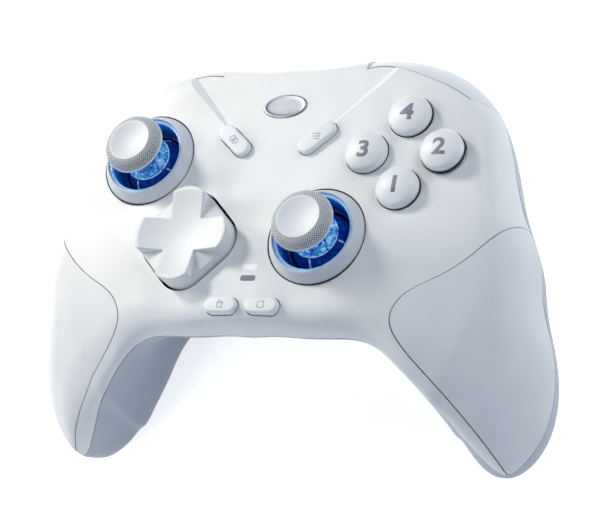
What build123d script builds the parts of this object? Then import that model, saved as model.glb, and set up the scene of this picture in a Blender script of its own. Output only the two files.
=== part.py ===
from build123d import *
import math
import os

os.makedirs("parts", exist_ok=True)

# Frames
# The pad is drawn face up about a datum in the middle of its flat face: +X to the right hand,
# +Y towards the triggers, +Z out of the face. At the end it is stood on its back, as it lies on a
# table: tilted until its grips and its rear hump both touch the ground at z = 0.
REST_TILT = 8.0
GROUND_DEPTH = 44.2
STAND_SHIFT = -0.96

# Body outline
HALF_WIDTH = 74.9
EDGE_REACH = 54.5
TIP_DROP = 38.5
EDGE_ROUND = 10.0
REAR_ROUND = 20.0
REAR_BULGE = 5.0
REAR_LIFT = 5.0
GRIP_ANGLE = 63.4
GRIP_START = 15.0
GRIP_RUN = 40.0
GRIP_FALL = 12.8
SHOULDER_REACH = 60.0
SHOULDER_FALL = 3.0
WALL = 2.4
COVER_THICKNESS = 1.4
SEAM = 0.3
FLAT_SHARE = 0.14
MIDDLE_SHARES = [0.05, 0.2, 0.5, 0.8, 0.95]
OVERRUN = 10.0
CAVITY_STATIONS = 10
SKIN_STATIONS = 12

# Shares of HALF_WIDTH, EDGE_REACH and TIP_DROP for the parting line's two ends at each station,
# from the middle of the pad to the tip of a grip
INNER_X_SHARES = [0, .16, .306, .422, .498, .562, .616, .671, .717, .754, .785, .809, .83, .838]
INNER_Y_SHARES = [-.473, -.472, -.472, -.481, -.536, -.611, -.678, -.738, -.798, -.845, -.88,
                  -.903, -.915, -.918]
INNER_Z_SHARES = [.221, .221, .227, .252, .296, .373, .468, .585, .716, .828, .918, .976, 1.003,
                  1.009]
OUTER_X_SHARES = [0, .212, .416, .627, .76, .835, .905, .954, .99, 1.001, .985, .947, .895, .87]
OUTER_Y_SHARES = [.999, 1.01, 1.016, .91, .722, .434, .144, -.144, -.357, -.518, -.661, -.781,
                  -.871, -.903]
OUTER_Z_SHARES = [.364, .369, .364, .342, .343, .394, .491, .622, .741, .833, .907, .959, .994,
                  1.005]
# Shares of EDGE_ROUND for the upper edges, and of the full height for the rise of the top
INNER_ROUND_SHARES = [.4, .4, .47, .62, .82, 1.02, 1.18, 1.26, 1.22, 1.08, .86, .58, .3, .15]
OUTER_ROUND_SHARES = [1, 1, 1.02, 1.08, 1.18, 1.3, 1.42, 1.5, 1.47, 1.3, 1, .62, .28, .12]
RISE_SHARES = [1, 1, 1, 1, 1, 1, 1, 1, .995, .96, .86, .69, .49, .38]
# Shares of REAR_BULGE, TIP_DROP, REAR_LIFT and REAR_ROUND for the rear shell
BULGE_SHARES = [-2.6, -2.6, -2.6, -2.3, -1.4, -.5, 0, .2, .3, .32, .27, .15, .04, 0]
WAIST_SHARES = [.62, .64, .7, .78, .87, .95, 1.01, 1.05, 1.07, 1.07, 1.065, 1.05, 1.03, 1.02]
LIFT_SHARES = [-.12, -.1, .1, .4, .48, .33, .07, -.1, -.1, .05, .42, 1, 1.65, 2]
REAR_INNER_SHARES = [1, .98, .91, .81, .73, .66, .63, .64, .63, .58, .48, .33, .17, .08]
REAR_OUTER_SHARES = [.75, .78, .86, .96, 1.05, 1.12, 1.15, 1.1, .98, .8, .6, .37, .17, .08]

# Front panel between the two slanted creases
PANEL_FOOT_X = 8.5
PANEL_FOOT_Y = 24.5
PANEL_HEAD_X = 30.0
PANEL_HEAD_Y = 49.2
PANEL_SLOPE = 4.0
PANEL_FLARE = 62.0
BADGE_LENGTH = 13.0
BADGE_WIDTH = 7.6
BADGE_Y = 38.2
BADGE_SEAT = 0.5
BADGE_PROUD = 0.3

# Grip covers
COVER_SEAM = 0.42
COVER_SEAM_X_SHARES = [1.2, .877, .841, .661, .541, .523, .547, .614, .694, .765, .84, .9]
COVER_SEAM_Y_SHARES = [.32, .094, .018, -.206, -.33, -.413, -.486, -.583, -.684, -.782, -.905, -1.1]

# Sticks
LEFT_STICK_X = -38.1
LEFT_STICK_Y = 22.8
RIGHT_STICK_X = 17.2
RIGHT_STICK_Y = -1.1
STICK_HOLE_RADIUS = 13.7
RING_GAP = 0.3
COLLAR_RIM_RADIUS = 11.5
COLLAR_BORE_RADIUS = 11.0
COLLAR_HEIGHT = 3.0
COLLAR_FLANGE = 1.0
COLLAR_FLANGE_TOP = -4.4
COLLAR_FLANGE_THICKNESS = 1.0
BOWL_WALL = 0.8
BOWL_TOP = 2.4
BOWL_FLOOR = -3.8
BOWL_FLOOR_THICKNESS = 0.8
PIVOT_DEPTH = 7.0
SKIRT_RADIUS = 9.0
SKIRT_THICKNESS = 0.9
SKIRT_GAP = 0.35
SKIRT_LOW_ANGLE = 80.0
SKIRT_BELL_ANGLE = 50.0
SKIRT_SHOULDER_ANGLE = 36.0
SKIRT_SHOULDER_RADIUS = 9.9
SKIRT_NECK_ANGLE = 22.0
SKIRT_NECK_RADIUS = 11.7
SKIRT_NECK_THICKNESS = 0.8
CAP_TOP = 11.65
CAP_DISH_RADIUS = 6.0
CAP_DISH_DEPTH = 1.0
CAP_EDGE_RADIUS = 7.0
CAP_BELT_RADIUS = 8.4
CAP_BELT_TOP = 9.4
CAP_BELT_BOTTOM = 8.1
CAP_WAIST_RADIUS = 5.2
CAP_WAIST_HEIGHT = 5.8
CAP_SOCKET_DEPTH = 4.2
SHAFT_RADIUS = 2.0
SHAFT_TAIL = 3.0
HUB_RADIUS = 3.1
YOKE_OUTER_RADIUS = 5.7
YOKE_INNER_RADIUS = 4.0
YOKE_THICKNESS = 3.0
TRUNNION_RADIUS = 0.9
CROSS_PIN_RADIUS = 0.8
PIVOT_CLEARANCE = 0.05
STICK_PRESS = 0.5
MODULE_SIZE = 15.0
MODULE_TOP = -9.4
MODULE_TOWER_TOP = -5.4
MODULE_TOWER_RADIUS = 7.4
MODULE_TOWER_BORE = 6.2
MODULE_PIT = 4.2

# Direction pad
DPAD_X = -20.0
DPAD_Y = -1.9
DPAD_SIDE = 23.6
DPAD_CORNER = 7.4
DPAD_TOP = 5.2
DPAD_SKIRT = 1.6
DPAD_DISH_RADIUS = 42.0
DPAD_DISH_DEPTH = 1.9
DPAD_ARM_HALF_WIDTH = 4.6
DPAD_FACET_ANGLE = 15.0
DPAD_FACET_DROP = 0.35
DPAD_GAP = 0.7
DPAD_PIVOT_DEPTH = 4.4
DPAD_LEG_HALF_SPAN = 3.6
DPAD_LEG_THICKNESS = 1.6
DPAD_LEG_WIDTH = 4.4
DPAD_PIN_RADIUS = 1.1
DPAD_EAR_THICKNESS = 1.4
DPAD_EAR_WIDTH = 4.0
DPAD_EAR_TOP = -3.0

# Face buttons
BUTTON_GROUP_X = 37.6
BUTTON_GROUP_Y = 22.5
BUTTON_SPACING = 10.44
BUTTON_RADIUS = 5.75
BUTTON_GAP = 0.3
BUTTON_EDGE = 1.6
BUTTON_CROWN = 1.4
BUTTON_FLANGE = 0.95
BUTTON_FLANGE_TOP = -5.0
BUTTON_BOTTOM = -6.0
BUTTON_TRAVEL = 1.3

# Small buttons
PILL_LENGTH = 11.8
PILL_WIDTH = 4.9
PILL_X = 12.2
PILL_Y = 27.4
PILL_ANGLE = 42.0
PILL_TOP = 1.5
LOWER_PILL_LENGTH = 9.4
LOWER_PILL_WIDTH = 4.3
LOWER_PILL_X = 5.9
LOWER_PILL_Y = -20.7
LOWER_PILL_TOP = 1.2
PILL_BOTTOM = -5.0
PILL_FLANGE = 0.7
PILL_FLANGE_TOP = -4.0
PILL_GAP = 0.25
PILL_CROWN = 0.5
PILL_TRAVEL = 0.7

# Indicators
LENS_LENGTH = 4.2
LENS_WIDTH = 1.5
LENS_HIGH_Y = -9.6
LENS_LOW_Y = -12.8
LENS_DEPTH = 3.0

# Shoulder bumpers
BUMPER_X_SHARES = [.295, .4, .5, .6, .69]
BUMPER_Y_SHARES = [.905, .905, .855, .796, .727]
BUMPER_BOTTOM = -12.6
BUMPER_STEP = 0.7
BUMPER_GAP = 0.5
BUMPER_POST_X = 19.5
BUMPER_POST_Y = 44.0
BUMPER_POST_RADIUS = 1.6
BUMPER_POST_TOP = -1.9
BUMPER_EYE_RADIUS = 3.6
BUMPER_ARM_TOP = -6.5
BUMPER_ARM_BOTTOM = -9.0
BUMPER_ARM_WIDTH = 5.0
BUMPER_ARM_END_X = 28.0
BUMPER_ARM_END_Y = 54.0
POST_END = -10.5

# Triggers
BAY_INNER_X = 27.2
BAY_OUTER_X = 49.0
BAY_BACK_Y = 37.4
BAY_WALL = 1.5
BAY_TOP = -14.0
TRIGGER_INNER_X = 27.8
TRIGGER_OUTER_X = 48.4
TRIGGER_PIN_Y = 41.2
TRIGGER_PIN_Z = -17.6
TRIGGER_PIN_RADIUS = 1.2
TRIGGER_HUB_RADIUS = 3.1
TRIGGER_BASE_Y = 40.0
TRIGGER_X_SHARES = [0, .3, .65, 1]
TRIGGER_REACHES = [20.5, 18.8, 15.6, 9.4]
TRIGGER_TIP_DEPTH = 30.0
TRIGGER_PROFILE_Y_SHARES = [0, .45, .8, .96, 1, .97, 1, .93, .82, .66, .42, .12, -.04]
TRIGGER_PROFILE_Z_SHARES = [.483, .483, .515, .61, .73, .87, .985, 1.02, .975, .83, .725, .69, .6]
SPRING_COIL_RADIUS = 2.1
SPRING_WIRE = 0.7
SPRING_LENGTH = 2.4

# Boards, battery and motors
BUTTON_BOARD_TOP = -9.0
BUTTON_BOARD_THICKNESS = 1.2
BUTTON_BOARD_HALF_X = 53.0
BUTTON_BOARD_LOW_Y = -22.0
BUTTON_BOARD_HIGH_Y = 35.0
BUTTON_BOARD_CORNER_X = 17.0
BUTTON_BOARD_CORNER_Y = 16.0
MAIN_BOARD_TOP = -18.0
MAIN_BOARD_THICKNESS = 1.6
MAIN_BOARD_HALF_X = 47.0
MAIN_BOARD_LOW_Y = -10.0
MAIN_BOARD_HIGH_Y = 34.5
TONGUE_HALF_X = 21.0
TONGUE_HIGH_Y = 49.0
BOARD_HOLE_RADIUS = 11.8
MEMBRANE_THICKNESS = 0.8
DOME_RADIUS = 3.2
DOME_TIP_RADIUS = 2.4
DOME_CLEARANCE = 0.3
PAD_MARGIN = 7.5
BATTERY_LENGTH = 50.0
BATTERY_WIDTH = 34.0
BATTERY_THICKNESS = 9.0
BATTERY_Y = 14.0
FLOOR_THICKNESS = 2.8
MOTOR_X = 55.0
MOTOR_Y = -6.0
MOTOR_Z = -29.0
MOTOR_RADIUS = 7.0
MOTOR_LENGTH = 13.0
MOTOR_SHAFT_RADIUS = 1.0
WEIGHT_RADIUS = 8.0
WEIGHT_LENGTH = 6.5
WEIGHT_GAP = 0.6
CRADLE_WIDTH = 15.0
CRADLE_LENGTH = 4.0

# Socket for the charging lead
SOCKET_WIDTH = 8.94
SOCKET_HEIGHT = 3.26
SOCKET_DEPTH = 7.3
SOCKET_WALL = 0.3
SOCKET_FRONT_Y = 54.0
SOCKET_CLEARANCE = 0.3
TONGUE_WIDTH = 6.7
TONGUE_THICKNESS = 0.7
TONGUE_RECESS = 0.8

# Screws and their posts
GRIP_SCREW_X = 58.0
GRIP_SCREW_Y = -30.0
GRIP_SCREW_Z = -40.5
EDGE_SCREW_X = 9.6
EDGE_SCREW_Y = 44.0
EDGE_SCREW_Z = -31.0
GRIP_SPLIT_Z = -29.0
SCREW_LENGTH = 19.0
SCREW_RADIUS = 1.15
SCREW_HEAD_RADIUS = 2.3
SCREW_HEAD_HEIGHT = 1.6
SCREW_DRIVE_RADIUS = 1.1
SCREW_DRIVE_DEPTH = 0.9
SCREW_CLEARANCE = 0.25
BOSS_RADIUS = 3.4
BOARD_POST_RADIUS = 1.8
BOARD_POST_X = 29.5
BOARD_POST_Y = -17.0

LEFT, RIGHT = -1, 1
BIG = 2 * HALF_WIDTH


def stood(shape):
    """The same shape in the pad's resting place on a table."""
    rise = GROUND_DEPTH * math.cos(math.radians(REST_TILT))
    return Pos(0, STAND_SHIFT, rise) * Rot(-REST_TILT, 0, 0) * shape


def save(name, shape):
    placed = stood(shape)
    placed.label = name
    export_step(placed, os.path.join("parts", name + ".step"))


def mirrored(shape, side):
    """A right-hand shape, or its mirror image for the left hand."""
    return shape if side == RIGHT else mirror(shape, about=Plane.YZ)


def side_name(side):
    return "right" if side == RIGHT else "left"


# Body surfaces
def ground_z(y):
    return -GROUND_DEPTH + math.tan(math.radians(REST_TILT)) * y


def face_z(x, y):
    """Height of the face: flat in the middle, falling away along the grips and the shoulders."""
    along = abs(x) * math.cos(math.radians(GRIP_ANGLE)) - y * math.sin(math.radians(GRIP_ANGLE))
    beyond = max(0, along - GRIP_START) / GRIP_RUN
    return -GRIP_FALL * beyond**2 - SHOULDER_FALL * (abs(x) / SHOULDER_REACH) ** 4


def quarter(count):
    return [math.pi / 2 * k / count for k in range(count + 1)]


def fitted(first, last, length):
    """Two edge rounds, made smaller together where they would leave no flat between them."""
    ratio = min(1, (1 - FLAT_SHARE) * length / (first + last))
    return first * ratio, last * ratio


def section_points(i, gap):
    """Upper and lower outlines of one fanned section, as (along, height) pairs with its frame."""
    start = Vector(INNER_X_SHARES[i] * HALF_WIDTH, INNER_Y_SHARES[i] * EDGE_REACH, 0)
    end = Vector(OUTER_X_SHARES[i] * HALF_WIDTH, OUTER_Y_SHARES[i] * EDGE_REACH, 0)
    length = (end - start).length
    heading = (end - start) / length
    inner_z, outer_z = -INNER_Z_SHARES[i] * TIP_DROP, -OUTER_Z_SHARES[i] * TIP_DROP
    round_in, round_out = INNER_ROUND_SHARES[i] * EDGE_ROUND, OUTER_ROUND_SHARES[i] * EDGE_ROUND
    round_in, round_out = fitted(round_in, round_out, length)
    bulge, waist = BULGE_SHARES[i] * REAR_BULGE, -WAIST_SHARES[i] * TIP_DROP
    rear_in, rear_out = REAR_INNER_SHARES[i] * REAR_ROUND, REAR_OUTER_SHARES[i] * REAR_ROUND
    rear_in, rear_out = fitted(rear_in, rear_out, length + bulge)
    turn = quarter(4)

    def base(s):
        return inner_z + (outer_z - inner_z) * s / length

    def top(s):
        p = start + heading * s
        return base(s) + (face_z(p.X, p.Y) - base(s)) * RISE_SHARES[i]

    def floor(s):
        return ground_z((start + heading * s).Y) + LIFT_SHARES[i] * REAR_LIFT

    def between(a, b):
        return [a + (b - a) * share for share in MIDDLE_SHARES]

    upper = []
    for a in turn:
        s = round_in * (1 - math.cos(a))
        upper.append((s, base(s) + gap + (top(s) - base(s) - gap) * math.sin(a)))
    for s in between(round_in, length - round_out):
        upper.append((s, top(s)))
    for a in reversed(turn):
        s = length - round_out * (1 - math.cos(a))
        upper.append((s, base(s) + gap + (top(s) - base(s) - gap) * math.sin(a)))
    lower = []
    for a in turn:
        s = length - rear_out * (1 - math.cos(a))
        lower.append((s, outer_z - gap + (floor(s) - outer_z + gap) * math.sin(a)))
    for s in between(length - rear_out, rear_in - bulge):
        lower.append((s, floor(s)))
    for a in reversed(turn):
        s = rear_in * (1 - math.cos(a)) - bulge
        lower.append((s, waist + (floor(s) - waist) * math.sin(a)))
    for a in reversed(turn[:-1]):
        share = a / turn[-1]
        s = -bulge * share * share * (3 - 2 * share)
        lower.append((s, inner_z - gap + (waist - inner_z + gap) * share))
    return start, heading, upper, lower


def in_space(start, heading, pairs, side):
    placed = [start + heading * s + Vector(0, 0, z) for s, z in pairs]
    return [Vector(side * p.X, p.Y, p.Z) for p in placed]


def drawn_in(pairs, inset):
    """The closed outline moved inwards by the wall."""
    points = [Vector(s, z) for s, z in pairs]
    moved = []
    for k, point in enumerate(points):
        before, after = point - points[k - 1], points[(k + 1) % len(points)] - point
        tangent = before * (after.length / before.length) + after * (before.length / after.length)
        inward = Vector(tangent.Y, -tangent.X).normalized()
        moved.append(point + inward * inset)
    return [(p.X, p.Y) for p in moved]


def stations(count):
    """From the left tip over the middle to the right tip."""
    return [(LEFT, i) for i in range(count - 1, 0, -1)] + [(RIGHT, i) for i in range(count)]


def half_body(upper_half):
    wires = []
    for side, i in stations(len(INNER_X_SHARES)):
        start, heading, upper, lower = section_points(i, SEAM / 2)
        points = in_space(start, heading, upper if upper_half else lower, side)
        wires.append(Wire([Edge.make_spline(points), Edge.make_line(points[-1], points[0])]))
    return Solid.make_loft(wires)


def inner_body(inset, count):
    wires = []
    for side, i in stations(count):
        start, heading, upper, lower = section_points(i, 0)
        closed = in_space(start, heading, drawn_in(upper[:-1] + lower[:-1], inset), side)
        crest = len(upper) // 2
        keel = crest + len(upper) - 1
        outer_half, inner_half = closed[crest:keel + 1], closed[keel:] + closed[:crest + 1]
        wires.append(Wire([Edge.make_spline(outer_half), Edge.make_spline(inner_half)]))
    return Solid.make_loft(wires)


def prism(face, low, high):
    return Pos(0, 0, low) * extrude(face, high - low)


def block(x0, x1, y0, y1, z0, z1):
    return Pos(x0, y0, z0) * Box(x1 - x0, y1 - y0, z1 - z0, align=(Align.MIN, Align.MIN, Align.MIN))


def rod(radius, low, high, x=0, y=0):
    return Pos(x, y, low) * Cylinder(radius, high - low, align=(Align.CENTER, Align.CENTER, Align.MIN))


def cross_rod(radius, x0, x1, y, z):
    """A round bar along X."""
    bar = Cylinder(radius, x1 - x0, align=(Align.CENTER, Align.CENTER, Align.MIN))
    return Pos(x0, y, z) * Rot(0, 90, 0) * bar


def long_rod(radius, y0, y1, x, z):
    """A round bar along Y."""
    bar = Cylinder(radius, y1 - y0, align=(Align.CENTER, Align.CENTER, Align.MIN))
    return Pos(x, y0, z) * Rot(-90, 0, 0) * bar


def turned(points):
    """A solid of revolution about Z from (radius, height) points."""
    outline = Polyline([(r, 0, z) for r, z in points], close=True)
    return revolve(make_face(outline), Axis.Z)


def capsule(length, width):
    return SlotOverall(length, width)


# Places that repeat
STICKS = {"left": (LEFT_STICK_X, LEFT_STICK_Y), "right": (RIGHT_STICK_X, RIGHT_STICK_Y)}
BUTTONS = {
    "north_button": (BUTTON_GROUP_X, BUTTON_GROUP_Y + BUTTON_SPACING),
    "east_button": (BUTTON_GROUP_X + BUTTON_SPACING, BUTTON_GROUP_Y),
    "south_button": (BUTTON_GROUP_X, BUTTON_GROUP_Y - BUTTON_SPACING),
    "west_button": (BUTTON_GROUP_X - BUTTON_SPACING, BUTTON_GROUP_Y),
}
PILLS = {
    "view_button": (-PILL_X, PILL_Y, -PILL_ANGLE, PILL_LENGTH, PILL_WIDTH, PILL_TOP),
    "menu_button": (PILL_X, PILL_Y, PILL_ANGLE, PILL_LENGTH, PILL_WIDTH, PILL_TOP),
    "home_button": (-LOWER_PILL_X, LOWER_PILL_Y, 0, LOWER_PILL_LENGTH, LOWER_PILL_WIDTH, LOWER_PILL_TOP),
    "function_button": (LOWER_PILL_X, LOWER_PILL_Y, 0, LOWER_PILL_LENGTH, LOWER_PILL_WIDTH,
                        LOWER_PILL_TOP),
}
SCREWS = [
    (side * x, y, z, split)
    for side in (LEFT, RIGHT)
    for x, y, z, split in (
        (GRIP_SCREW_X, GRIP_SCREW_Y, GRIP_SCREW_Z, GRIP_SPLIT_Z),
        (EDGE_SCREW_X, EDGE_SCREW_Y, EDGE_SCREW_Z, BAY_TOP),
    )
]


def pill_face(place, extra):
    x, y, angle, length, width, top = place
    return Pos(x, y) * Rot(0, 0, angle) * capsule(length + 2 * extra, width + 2 * extra)


def pill_foot(place):
    """Plan of a small button's two end flanges, which catch under the shell."""
    x, y, angle, length, width, top = place
    return Pos(x, y) * Rot(0, 0, angle) * capsule(length + 2 * PILL_FLANGE, width - 2 * PILL_FLANGE)


def dpad_face(extra):
    side = DPAD_SIDE + 2 * extra
    return Pos(DPAD_X, DPAD_Y) * Rot(0, 0, 45) * RectangleRounded(side, side, DPAD_CORNER + extra)


def lens_face(y):
    return Pos(0, y) * RectangleRounded(LENS_LENGTH, LENS_WIDTH, LENS_WIDTH / 3)


def cover_face():
    """Plan outline of the right grip cover: its seam, and a far corner outside the pad."""
    seam = [
        (x * HALF_WIDTH, y * EDGE_REACH) for x, y in zip(COVER_SEAM_X_SHARES, COVER_SEAM_Y_SHARES)
    ]
    curve = Edge.make_spline([Vector(x, y) for x, y in seam])
    far = Vector(BIG, 0)
    back = Polyline([seam[-1], (far.X, seam[-1][1]), (far.X, seam[0][1]), seam[0]])
    return make_face([curve] + list(back.edges()))


def bumper_zone(gap):
    """Plan outline of the right bumper, from its seam with the front shell outwards."""
    seam = [(x * HALF_WIDTH, y * EDGE_REACH - gap) for x, y in zip(BUMPER_X_SHARES, BUMPER_Y_SHARES)]
    seam[0] = (seam[0][0] - gap, seam[0][1])
    back = Polyline([
        seam[-1],
        (HALF_WIDTH + OVERRUN, seam[-1][1]),
        (HALF_WIDTH + OVERRUN, EDGE_REACH + OVERRUN),
        (seam[0][0] - gap, EDGE_REACH + OVERRUN),
        seam[0],
    ])
    return make_face([Edge.make_spline([Vector(x, y) for x, y in seam])] + list(back.edges()))


def panel_cutter():
    """What lies above the sunken front panel."""
    foot, head = (PANEL_FOOT_X, PANEL_FOOT_Y), (PANEL_HEAD_X, PANEL_HEAD_Y)
    far = (2 * PANEL_HEAD_X - PANEL_FOOT_X, 2 * PANEL_HEAD_Y - PANEL_FOOT_Y)
    outline = [foot, head, far, (-far[0], far[1]), (-head[0], head[1]), (-foot[0], foot[1])]
    flat = make_face(Polyline([(x, y - PANEL_FOOT_Y) for x, y in outline], close=True))
    return Pos(0, PANEL_FOOT_Y, 0) * Rot(-PANEL_SLOPE, 0, 0) * extrude(flat, OVERRUN, taper=-PANEL_FLARE)


def on_panel(shape):
    """The shape set into the panel's slanted surface, at the badge."""
    return Pos(0, PANEL_FOOT_Y, 0) * Rot(-PANEL_SLOPE, 0, 0) * Pos(0, BADGE_Y - PANEL_FOOT_Y, 0) * shape


def usb_face(extra):
    width, height = SOCKET_WIDTH + 2 * extra, SOCKET_HEIGHT + 2 * extra
    return Plane.XZ * RectangleRounded(width, height, height / 2 - SOCKET_WALL / 3)


SOCKET_Z = MAIN_BOARD_TOP + SOCKET_HEIGHT / 2


def socket_opening():
    face = usb_face(SOCKET_CLEARANCE)
    return Pos(0, SOCKET_FRONT_Y + OVERRUN, SOCKET_Z) * extrude(face, SOCKET_DEPTH + OVERRUN)


# Shells
outer_top = half_body(True)
outer_bottom = half_body(False)
cavity = inner_body(WALL, CAVITY_STATIONS)
skin = inner_body(COVER_THICKNESS, SKIN_STATIONS)


def face_openings():
    cuts = []
    for x, y in STICKS.values():
        cuts.append(rod(STICK_HOLE_RADIUS, -OVERRUN, OVERRUN, x, y))
    for x, y in BUTTONS.values():
        cuts.append(rod(BUTTON_RADIUS + BUTTON_GAP, -OVERRUN, OVERRUN, x, y))
    for place in PILLS.values():
        cuts.append(prism(pill_face(place, PILL_GAP), -OVERRUN, OVERRUN))
    for y in (LENS_HIGH_Y, LENS_LOW_Y):
        cuts.append(prism(lens_face(y), -OVERRUN, OVERRUN))
    cuts.append(prism(dpad_face(DPAD_GAP), -OVERRUN, OVERRUN))
    cuts.append(on_panel(prism(Ellipse(BADGE_LENGTH / 2, BADGE_WIDTH / 2), -BADGE_SEAT, OVERRUN)))
    return cuts


def front_shell():
    body = outer_top - cavity
    for side in (LEFT, RIGHT):
        body -= mirrored(prism(bumper_zone(BUMPER_GAP), BUMPER_BOTTOM - OVERRUN, OVERRUN), side)
    body = body - [panel_cutter()] - face_openings()
    pocket = prism(cover_face(), -BIG, OVERRUN)
    for side in (LEFT, RIGHT):
        body -= mirrored(pocket, side) - skin
    posts = []
    for x, y, z, split in SCREWS:
        posts.append(rod(BOSS_RADIUS, split + SEAM / 2, 0, x, y) & skin)
    for side in (LEFT, RIGHT):
        posts.append(rod(BUMPER_POST_RADIUS, POST_END, BUMPER_POST_TOP, side * BUMPER_POST_X, BUMPER_POST_Y))
    for x, y in board_posts():
        posts.append(rod(BOARD_POST_RADIUS, BUTTON_BOARD_TOP, face_z(x, y) - WALL / 2, x, y))
    body = body + posts
    for x, y, z, split in SCREWS:
        body -= rod(SCREW_RADIUS, z, z + SCREW_LENGTH, x, y)
    return body


def board_posts():
    return [(0, PILL_Y), (BOARD_POST_X, BOARD_POST_Y), (-BOARD_POST_X, BOARD_POST_Y)]


def rear_shell():
    body = outer_bottom - cavity
    for side in (LEFT, RIGHT):
        bay = block(BAY_INNER_X - BAY_WALL, BAY_OUTER_X + BAY_WALL, BAY_BACK_Y - BAY_WALL, BIG, -BIG, 0)
        body += mirrored(bay & outer_bottom, side)
        motor_seat = block(
            MOTOR_X - CRADLE_WIDTH / 2, MOTOR_X + CRADLE_WIDTH / 2,
            MOTOR_Y - CRADLE_LENGTH / 2, MOTOR_Y + CRADLE_LENGTH / 2, -BIG, MOTOR_Z,
        )
        body += mirrored(motor_seat & outer_bottom, side)
    for x, y, z, split in SCREWS:
        body += rod(BOSS_RADIUS, -BIG / 2, split - SEAM / 2, x, y) & outer_bottom
    for x, y in main_posts():
        body += rod(BOARD_POST_RADIUS, -BIG / 2, MAIN_BOARD_TOP - MAIN_BOARD_THICKNESS, x, y) & outer_bottom
    for side in (LEFT, RIGHT):
        bay = block(BAY_INNER_X, BAY_OUTER_X, BAY_BACK_Y, BIG, -BIG, 0)
        body -= mirrored(bay, side)
        body -= mirrored(trigger_pin(), side)
        body -= mirrored(long_rod(MOTOR_RADIUS, MOTOR_Y - BIG, MOTOR_Y + BIG, MOTOR_X, MOTOR_Z)
                         & cavity, side)
    for x, y, z, split in SCREWS:
        body -= rod(SCREW_RADIUS + SCREW_CLEARANCE, z, split + SEAM, x, y)
        body -= rod(SCREW_HEAD_RADIUS + SCREW_CLEARANCE, z - BIG, z, x, y)
    body -= socket_opening()
    ground = Box(2 * BIG, 2 * BIG, BIG, align=(Align.CENTER, Align.CENTER, Align.MAX))
    rise = GROUND_DEPTH * math.cos(math.radians(REST_TILT))
    return body - Rot(REST_TILT, 0, 0) * Pos(0, 0, -rise) * ground


def main_posts():
    x = MAIN_BOARD_HALF_X - BOARD_POST_RADIUS
    low, high = MAIN_BOARD_LOW_Y + BOARD_POST_RADIUS, MAIN_BOARD_HIGH_Y - BOARD_POST_RADIUS
    return [(side * x, y) for side in (LEFT, RIGHT) for y in (low, high)]


def grip_cover():
    zone = Pos(COVER_SEAM, 0) * prism(cover_face(), -BIG, OVERRUN)
    return (outer_top & zone) - skin


# Shoulder controls, drawn for the right hand
def bumper():
    zone = prism(bumper_zone(0), BUMPER_BOTTOM, OVERRUN)
    lowered = Pos(0, 0, -BUMPER_STEP) * outer_top
    shell = (lowered & outer_top & zone) - Pos(0, 0, -BUMPER_STEP) * cavity
    reach = Vector(BUMPER_ARM_END_X - BUMPER_POST_X, BUMPER_ARM_END_Y - BUMPER_POST_Y)
    angle = math.degrees(math.atan2(reach.Y, reach.X))
    height = BUMPER_ARM_TOP - BUMPER_ARM_BOTTOM
    bar = Box(reach.length, BUMPER_ARM_WIDTH, height, align=(Align.MIN, Align.CENTER, Align.MIN))
    arm = Pos(BUMPER_POST_X, BUMPER_POST_Y, BUMPER_ARM_BOTTOM) * Rot(0, 0, angle) * bar
    eye = rod(BUMPER_EYE_RADIUS, BUMPER_ARM_BOTTOM, BUMPER_ARM_TOP, BUMPER_POST_X, BUMPER_POST_Y)
    bore = rod(BUMPER_POST_RADIUS + PIVOT_CLEARANCE, -OVERRUN - OVERRUN, OVERRUN,
               BUMPER_POST_X, BUMPER_POST_Y)
    return shell + (arm & lowered) + eye - bore


def trigger_pin():
    return cross_rod(TRIGGER_PIN_RADIUS, BAY_INNER_X - BAY_WALL, BAY_OUTER_X + BAY_WALL / 2,
                     TRIGGER_PIN_Y, TRIGGER_PIN_Z)


def trigger():
    span = TRIGGER_OUTER_X - TRIGGER_INNER_X
    wires = []
    for share, reach in zip(TRIGGER_X_SHARES, TRIGGER_REACHES):
        points = [
            Vector(TRIGGER_INNER_X + share * span, TRIGGER_BASE_Y + y * reach, -z * TRIGGER_TIP_DEPTH)
            for y, z in zip(TRIGGER_PROFILE_Y_SHARES, TRIGGER_PROFILE_Z_SHARES)
        ]
        wires.append(Wire([Edge.make_spline(points, periodic=True)]))
    blade = Solid.make_loft(wires)
    hub = cross_rod(TRIGGER_HUB_RADIUS, TRIGGER_INNER_X, TRIGGER_OUTER_X, TRIGGER_PIN_Y, TRIGGER_PIN_Z)
    bore = cross_rod(TRIGGER_PIN_RADIUS + PIVOT_CLEARANCE, 0, BIG, TRIGGER_PIN_Y, TRIGGER_PIN_Z)
    spring_room = cross_rod(SPRING_COIL_RADIUS + SPRING_WIRE, 0, TRIGGER_INNER_X + SPRING_LENGTH + SEAM,
                            TRIGGER_PIN_Y, TRIGGER_PIN_Z)
    return blade + hub - bore - spring_room


def trigger_spring():
    outer = cross_rod(SPRING_COIL_RADIUS, TRIGGER_INNER_X, TRIGGER_INNER_X + SPRING_LENGTH,
                      TRIGGER_PIN_Y, TRIGGER_PIN_Z)
    return outer - cross_rod(TRIGGER_PIN_RADIUS, 0, BIG, TRIGGER_PIN_Y, TRIGGER_PIN_Z)


# Stick pieces, drawn about the stick's own axis with the face at z = 0
def polar(radius, angle):
    a = math.radians(angle)
    return radius * math.sin(a), radius * math.cos(a) - PIVOT_DEPTH


def stick_collar():
    outer = STICK_HOLE_RADIUS - RING_GAP
    low = COLLAR_FLANGE_TOP - COLLAR_FLANGE_THICKNESS
    return turned([
        (COLLAR_BORE_RADIUS, low), (outer + COLLAR_FLANGE, low), (outer + COLLAR_FLANGE, COLLAR_FLANGE_TOP),
        (outer, COLLAR_FLANGE_TOP), (outer, 0), (COLLAR_RIM_RADIUS, COLLAR_HEIGHT),
        (COLLAR_BORE_RADIUS, COLLAR_HEIGHT),
    ])


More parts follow.
